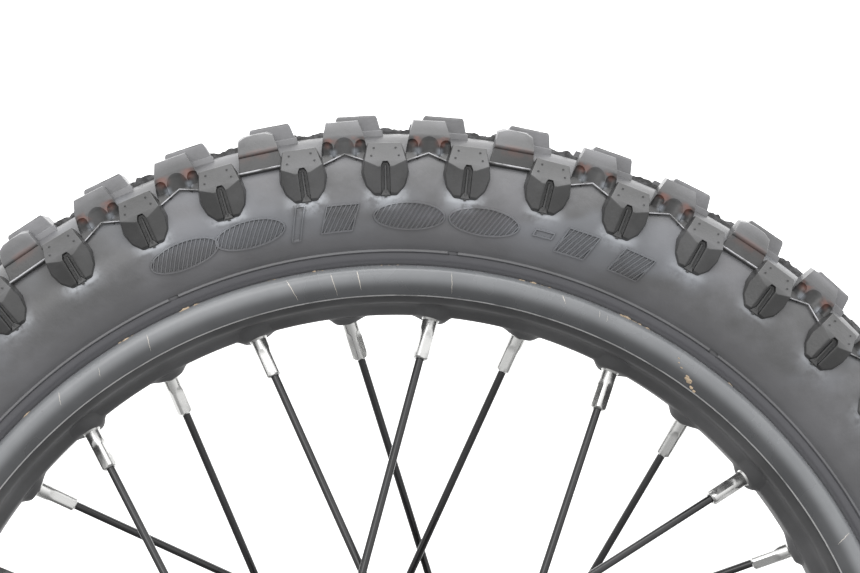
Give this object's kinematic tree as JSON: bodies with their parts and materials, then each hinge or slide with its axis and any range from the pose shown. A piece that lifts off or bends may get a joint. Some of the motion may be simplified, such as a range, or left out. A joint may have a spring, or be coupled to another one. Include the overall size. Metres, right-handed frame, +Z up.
{
  "type": "spoked wheel",
  "caption": "Front wheel of a small off-road motorcycle: knobbly tyre on a rolled black rim, crossed black spokes with bright nipples, flanged disc-brake hub on ball bearings.",
  "frame": {"origin": "centre of the wheel, on the axle's line and midway between the ends of the two collars", "axes": "+Y along the axle towards the brake disc side (the rider's left), +X forward, +Z up"},
  "size_m": [0.4904, 0.114, 0.4904],
  "materials": {
    "tyre_rubber": "satin moulded rubber",
    "tube_rubber": "smooth rubber",
    "wire_steel": "drawn wire",
    "rim_black": "satin black paint",
    "spoke_black": "satin black",
    "nipple_zinc": "zinc plated",
    "hub_black": "satin black over cast alloy",
    "bearing_steel": "ground steel",
    "cage_steel": "pressed steel",
    "seal_rubber": "matt",
    "zinc_steel": "zinc plated, turned",
    "valve_brass": "turned",
    "nickel_brass": "nickel plated",
    "black_plastic": "moulded"
  },
  "bodies": {
    "axle_parts": {"distance_tube": "zinc_steel", "right_bearing_inner_race": "bearing_steel", "left_bearing_inner_race": "bearing_steel", "right_collar": "zinc_steel", "left_collar": "zinc_steel"},
    "wheel": {"tyre": "tyre_rubber", "tyre_bead_cores": "wire_steel", "inner_tube": "tube_rubber", "rim_strip": "tube_rubber", "rim": "rim_black", "hub": "hub_black", "valve_stem": "valve_brass", "valve_rim_nut": "nickel_brass", "right_outer_spokes": "spoke_black", "right_outer_nipples": "nipple_zinc", "right_inner_spokes": "spoke_black", "right_inner_nipples": "nipple_zinc", "right_bearing_outer_race": "bearing_steel", "right_bearing_shields": "seal_rubber", "right_dust_seal": "seal_rubber", "left_outer_spokes": "spoke_black", "left_outer_nipples": "nipple_zinc", "left_inner_spokes": "spoke_black", "left_inner_nipples": "nipple_zinc", "left_bearing_outer_race": "bearing_steel", "left_bearing_shields": "seal_rubber", "left_dust_seal": "seal_rubber"},
    "right_bearing_ball_set": {"right_bearing_balls": "bearing_steel", "right_bearing_cage": "cage_steel"},
    "left_bearing_ball_set": {"left_bearing_balls": "bearing_steel", "left_bearing_cage": "cage_steel"},
    "valve_cap": {"valve_cap": "black_plastic"},
    "valve_core": {"valve_core": "valve_brass"}
  },
  "joints": [
    {"name": "wheel_spin", "type": "hinge", "parent": "axle_parts", "child": "wheel", "pos_m": [0, 0, 0], "axis": [0, 1, 0], "continuous": true},
    {"name": "right_ball_set_spin", "type": "hinge", "parent": "axle_parts", "child": "right_bearing_ball_set", "pos_m": [0, -0.0395, 0], "axis": [0, 1, 0], "continuous": true},
    {"name": "left_ball_set_spin", "type": "hinge", "parent": "axle_parts", "child": "left_bearing_ball_set", "pos_m": [0, 0.0395, 0], "axis": [0, 1, 0], "continuous": true},
    {"name": "valve_cap_off", "type": "slide", "parent": "wheel", "child": "valve_cap", "axis": [0.3827, 0, 0.9239], "range_m": [0, 0.02]},
    {"name": "valve_core_press", "type": "slide", "parent": "wheel", "child": "valve_core", "axis": [-0.3827, 0, -0.9239], "range_m": [0, 0.0012], "stiffness_N_per_m": 300, "springref_m": -0.001}
  ],
  "couplings": [
    {"joint": "right_ball_set_spin", "follows": "wheel_spin", "ratio": 0.6184},
    {"joint": "left_ball_set_spin", "follows": "wheel_spin", "ratio": 0.6184}
  ]
}
